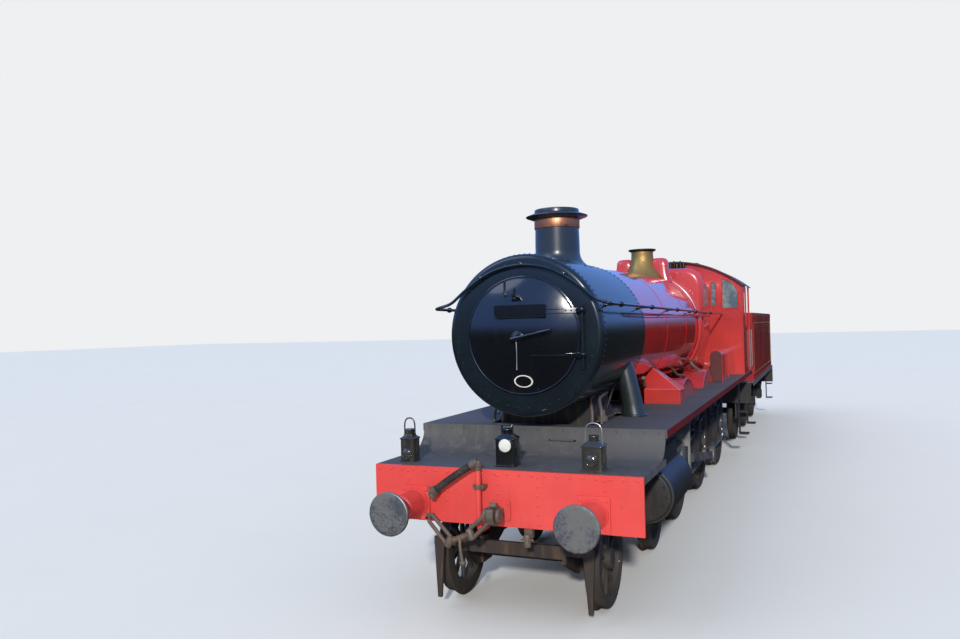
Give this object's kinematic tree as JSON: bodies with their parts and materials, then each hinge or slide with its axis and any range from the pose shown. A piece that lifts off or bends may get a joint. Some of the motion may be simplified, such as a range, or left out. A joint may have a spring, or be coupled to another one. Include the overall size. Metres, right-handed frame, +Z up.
{
  "type": "steam locomotive",
  "caption": "Ten-wheeled steam locomotive with a square-shouldered firebox, tall chimney, brass bonnet and a hinged tender.",
  "frame": {"origin": "under the middle of the whole, level with the tips of the wheel flanges", "axes": "-Y towards the front of the engine, +X to the engine's left, +Z up"},
  "size_m": [2.69, 19.23, 4.0409],
  "materials": {
    "red_paint": "gloss",
    "maroon_paint": "gloss",
    "black_paint": "gloss",
    "platform_grey": "weathered",
    "frame_black": "satin",
    "bright_steel": "worn",
    "cast_iron": "rough",
    "brass": "polished",
    "copper": "polished",
    "rusty_steel": "rusty",
    "hose_rubber": "matt",
    "timber": "worn",
    "coal": "rough lumps",
    "window_glass": "clear"
  },
  "bodies": {
    "engine": {"main_frames": "frame_black", "driving_axleboxes": "cast_iron", "front_beam": "red_paint", "running_plate": "platform_grey", "splashers": "red_paint", "motion_cover": "red_paint", "cylinder_saddle": "black_paint", "cylinders": "black_paint", "slidebars": "bright_steel", "connecting_rods": "bright_steel", "smokebox": "black_paint", "smokebox_ring": "black_paint", "blastpipe": "cast_iron", "chimney": "black_paint", "chimney_foot": "black_paint", "chimney_band": "copper", "door_hinge": "black_paint", "steam_pipes": "black_paint", "boiler_barrel": "red_paint", "firebox": "red_paint", "ashpan": "frame_black", "safety_valve_bonnet": "brass", "top_feed": "red_paint", "whistles": "brass", "cab_front": "red_paint", "cab_windows": "window_glass", "cab_sides": "red_paint", "cab_roof": "platform_grey", "cab_floor": "timber", "backhead": "frame_black", "cab_steps": "frame_black", "handrails": "black_paint", "buffer_stocks": "red_paint", "buffer_heads": "bright_steel", "front_coupling": "rusty_steel", "vacuum_pipe": "red_paint", "vacuum_hose": "hose_rubber", "lamps": "black_paint", "brake_gear": "frame_black"},
    "door": {"smokebox_door": "black_paint", "door_furniture": "black_paint", "door_plates": "black_paint"},
    "bogie": {"bogie_frame": "frame_black"},
    "bogie_wheels_front": {"bogie_wheels_front": "frame_black"},
    "bogie_wheels_rear": {"bogie_wheels_rear": "frame_black"},
    "drivers_leading": {"driving_wheels_leading": "frame_black"},
    "drivers_main": {"driving_wheels_main": "frame_black"},
    "drivers_trailing": {"driving_wheels_trailing": "frame_black"},
    "rod_left": {"coupling_rod_left": "bright_steel"},
    "rod_right": {"coupling_rod_right": "bright_steel"},
    "tender": {"tender_frame": "frame_black", "tender_platform": "platform_grey", "tender_tank": "maroon_paint", "tender_coal": "coal", "tender_axleboxes": "cast_iron", "tender_buffers": "red_paint", "tender_coupling": "rusty_steel"},
    "tender_wheels_1": {"tender_wheels_1": "frame_black"},
    "tender_wheels_2": {"tender_wheels_2": "frame_black"},
    "tender_wheels_3": {"tender_wheels_3": "frame_black"}
  },
  "joints": [
    {"name": "smokebox_door", "type": "hinge", "parent": "engine", "child": "door", "pos_m": [0.617, -8.403, 2.642], "axis": [0, 0, 1], "range_deg": [0, 110]},
    {"name": "bogie_pivot", "type": "hinge", "parent": "engine", "child": "bogie", "pos_m": [0, -7.246, 0.729], "axis": [0, 0, 1], "range_deg": [-3, 3]},
    {"name": "bogie_front_spin", "type": "hinge", "parent": "bogie", "child": "bogie_wheels_front", "pos_m": [0, -8.313, 0.486], "axis": [1, 0, 0], "continuous": true},
    {"name": "bogie_rear_spin", "type": "hinge", "parent": "bogie", "child": "bogie_wheels_rear", "pos_m": [0, -6.179, 0.486], "axis": [1, 0, 0], "continuous": true},
    {"name": "driving_spin", "type": "hinge", "parent": "engine", "child": "drivers_main", "pos_m": [0, -2.419, 0.9435], "axis": [1, 0, 0], "continuous": true},
    {"name": "leading_spin", "type": "hinge", "parent": "engine", "child": "drivers_leading", "pos_m": [0, -4.553, 0.9435], "axis": [1, 0, 0], "continuous": true},
    {"name": "trailing_spin", "type": "hinge", "parent": "engine", "child": "drivers_trailing", "pos_m": [0, -0.057, 0.9435], "axis": [1, 0, 0], "continuous": true},
    {"name": "left_rod_pivot", "type": "hinge", "parent": "drivers_main", "child": "rod_left", "pos_m": [0.8975, -2.419, 0.5625], "axis": [1, 0, 0], "continuous": true},
    {"name": "right_rod_pivot", "type": "hinge", "parent": "drivers_main", "child": "rod_right", "pos_m": [-0.8975, -2.8, 0.9435], "axis": [1, 0, 0], "continuous": true},
    {"name": "tender_drawbar", "type": "hinge", "parent": "engine", "child": "tender", "pos_m": [0, 1.825, 1.059], "axis": [0, 0, 1], "range_deg": [-3, 3]},
    {"name": "tender_spin_1", "type": "hinge", "parent": "tender", "child": "tender_wheels_1", "pos_m": [0, 3.385, 0.6575], "axis": [1, 0, 0], "continuous": true},
    {"name": "tender_spin_2", "type": "hinge", "parent": "tender", "child": "tender_wheels_2", "pos_m": [0, 5.671, 0.6575], "axis": [1, 0, 0], "continuous": true},
    {"name": "tender_spin_3", "type": "hinge", "parent": "tender", "child": "tender_wheels_3", "pos_m": [0, 7.957, 0.6575], "axis": [1, 0, 0], "continuous": true}
  ],
  "couplings": [
    {"joint": "leading_spin", "follows": "driving_spin", "ratio": 1},
    {"joint": "trailing_spin", "follows": "driving_spin", "ratio": 1},
    {"joint": "left_rod_pivot", "follows": "driving_spin", "ratio": -1},
    {"joint": "right_rod_pivot", "follows": "driving_spin", "ratio": -1}
  ]
}
